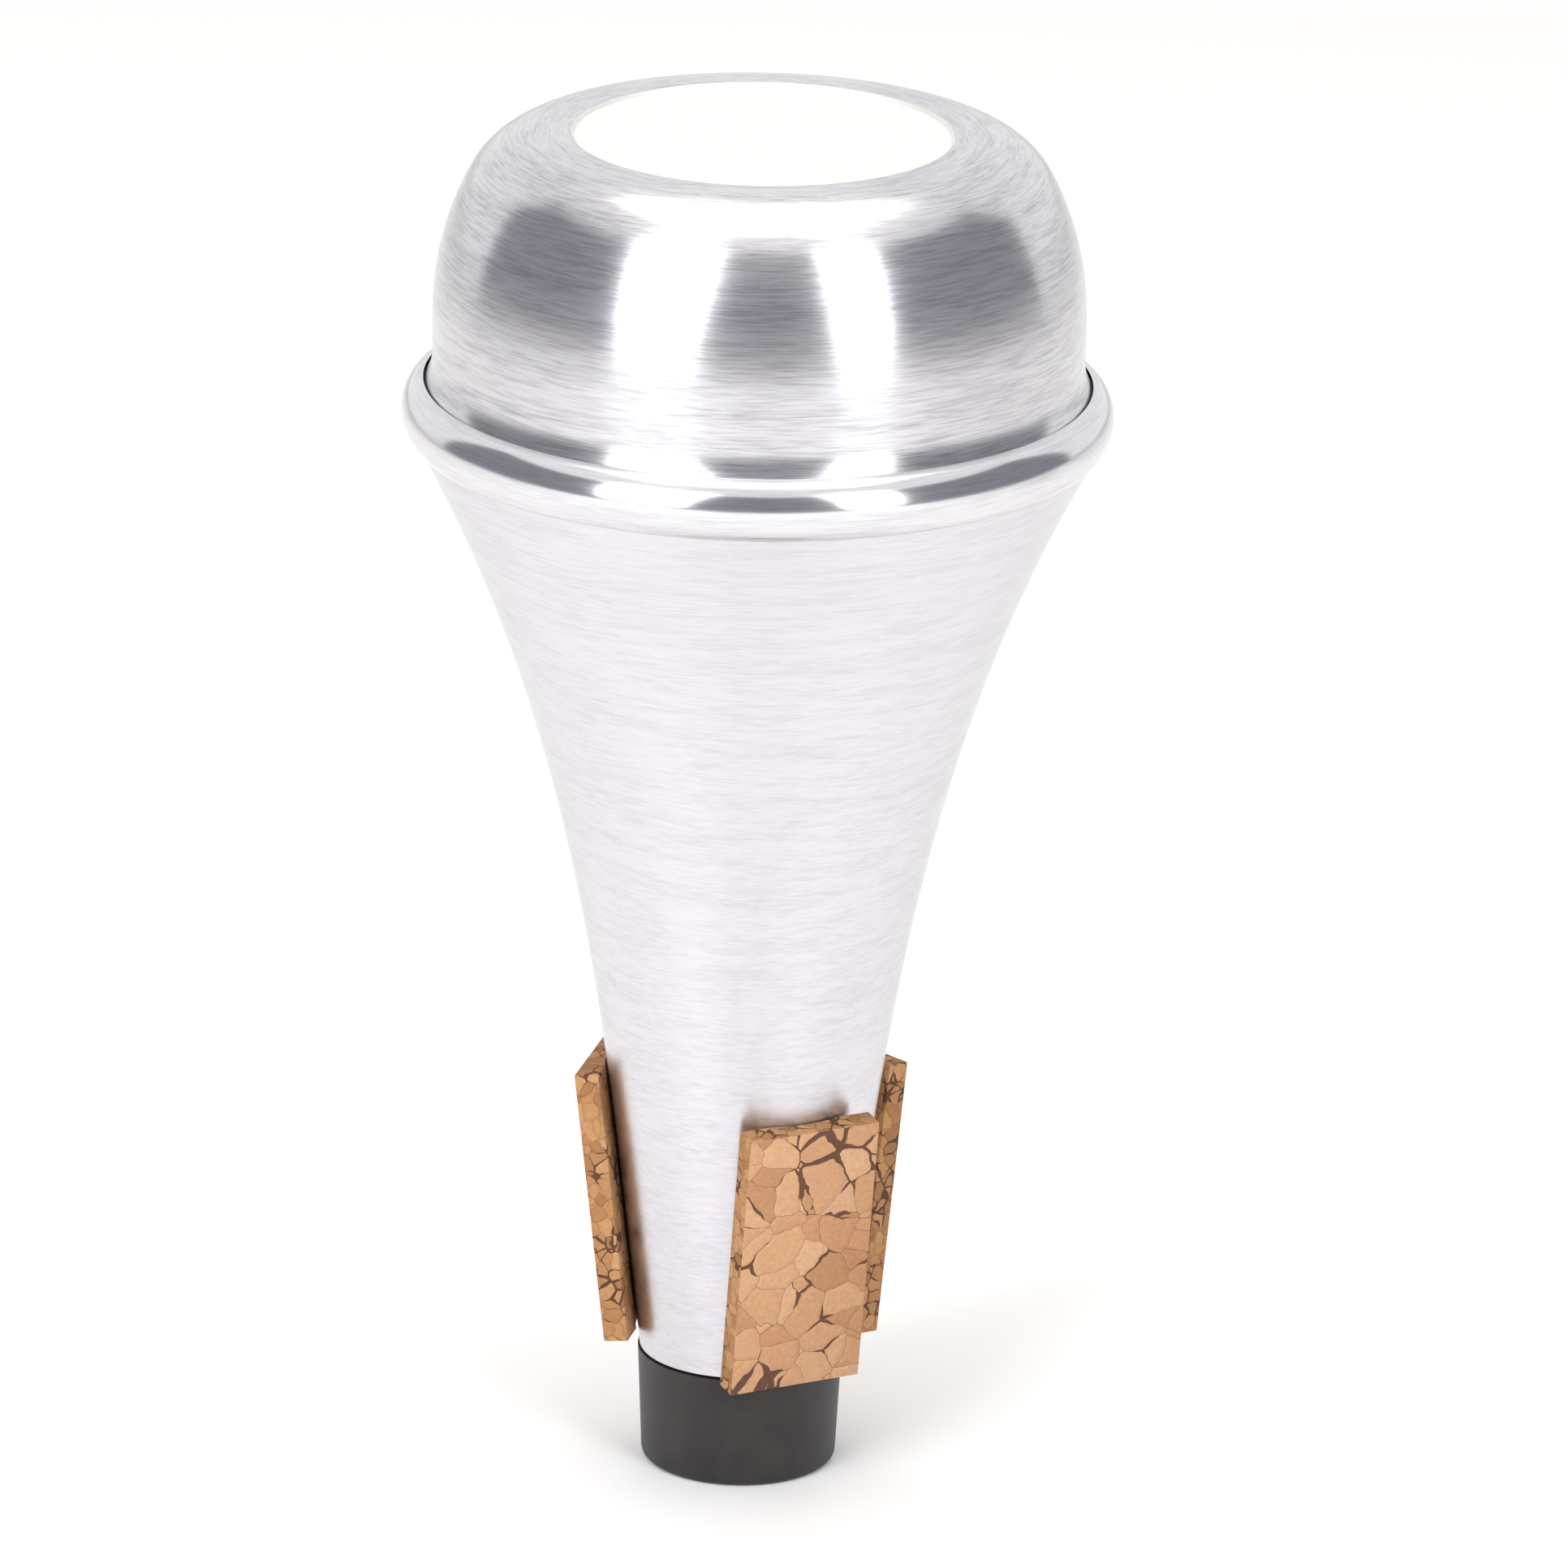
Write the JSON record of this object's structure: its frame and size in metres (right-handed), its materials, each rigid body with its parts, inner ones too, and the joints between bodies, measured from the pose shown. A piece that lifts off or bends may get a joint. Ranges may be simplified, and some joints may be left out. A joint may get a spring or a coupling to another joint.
{
  "type": "trumpet mute",
  "caption": "Straight mute for a trumpet: spun aluminium cone with a domed end cap, open throat tube and cork pads that hold it in the bell.",
  "frame": {"origin": "centre of the foot of the throat tube, on the mute's axis", "axes": "+Z along the mute's axis, from the narrow end to the domed cap; the pad named front faces mostly -Y"},
  "size_m": [0.085, 0.085, 0.1678],
  "materials": {
    "satin_aluminium": "spun and brushed round the axis, satin, with a polished bead",
    "bright_aluminium": "spun and polished dome with a matt disc",
    "black_rubber": "moulded, semi-matt",
    "cork": "composition cork, cut and unsealed"
  },
  "bodies": {
    "root": {"cone_shell": "satin_aluminium", "end_cap": "bright_aluminium", "throat_tube": "black_rubber", "cork_pad_front": "cork", "cork_pad_left": "cork", "cork_pad_right": "cork"}
  },
  "joints": []
}
